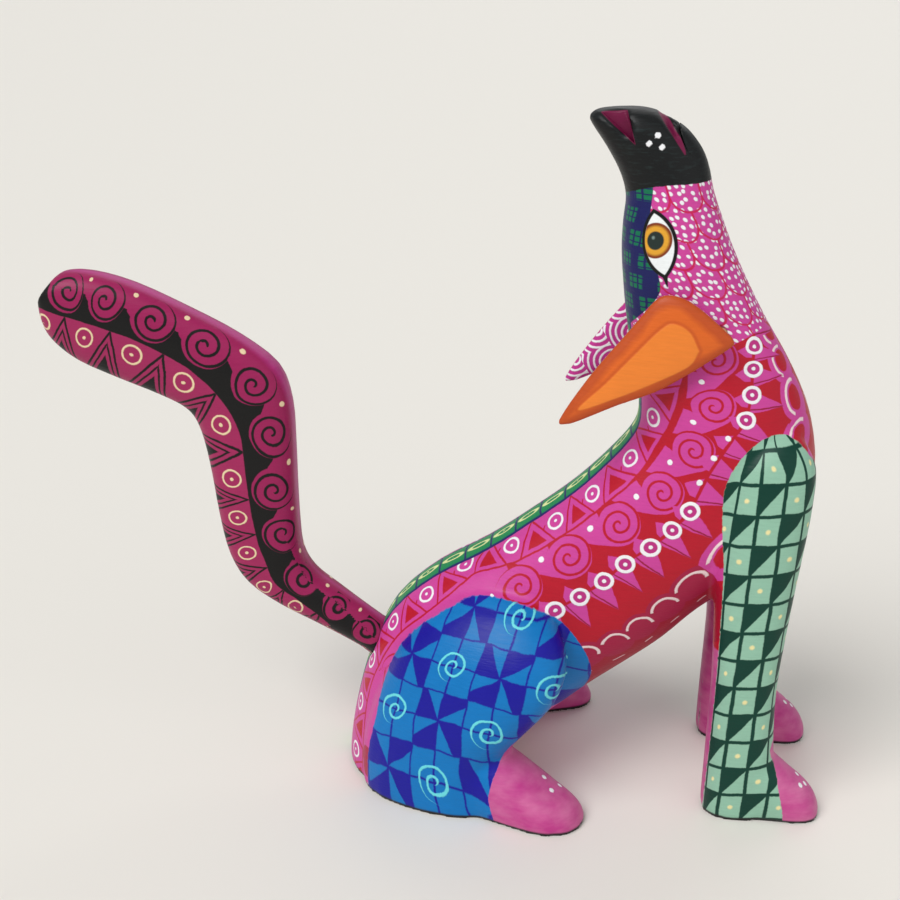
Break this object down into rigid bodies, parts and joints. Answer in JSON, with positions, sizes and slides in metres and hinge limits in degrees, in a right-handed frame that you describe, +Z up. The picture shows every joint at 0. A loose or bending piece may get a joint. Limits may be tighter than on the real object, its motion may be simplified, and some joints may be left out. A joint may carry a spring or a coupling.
{
  "type": "carved animal figure",
  "caption": "Carved and painted wooden coyote, sitting and howling, with plugged-in ears and tail that pull straight out of their sockets.",
  "frame": {"origin": "middle of the figure's box at the ground", "axes": "+X the way the figure faces, +Y towards its left side, +Z up"},
  "size_m": [0.2036, 0.077, 0.177],
  "materials": {
    "body": "painted satin",
    "ear": "painted satin",
    "tail": "painted satin"
  },
  "bodies": {
    "body": {"body": "body"},
    "left_ear": {"left_ear": "ear"},
    "right_ear": {"right_ear": "ear"},
    "tail": {"tail": "tail"}
  },
  "joints": [
    {"name": "left_ear_pull", "type": "slide", "parent": "body", "child": "left_ear", "axis": [-0.6184, 0.7071, -0.3428], "range_m": [0, 0.013]},
    {"name": "right_ear_pull", "type": "slide", "parent": "body", "child": "right_ear", "axis": [-0.6184, -0.7071, -0.3428], "range_m": [0, 0.013]},
    {"name": "tail_pull", "type": "slide", "parent": "body", "child": "tail", "axis": [-0.8192, 0, 0.5736], "range_m": [0, 0.018]}
  ]
}
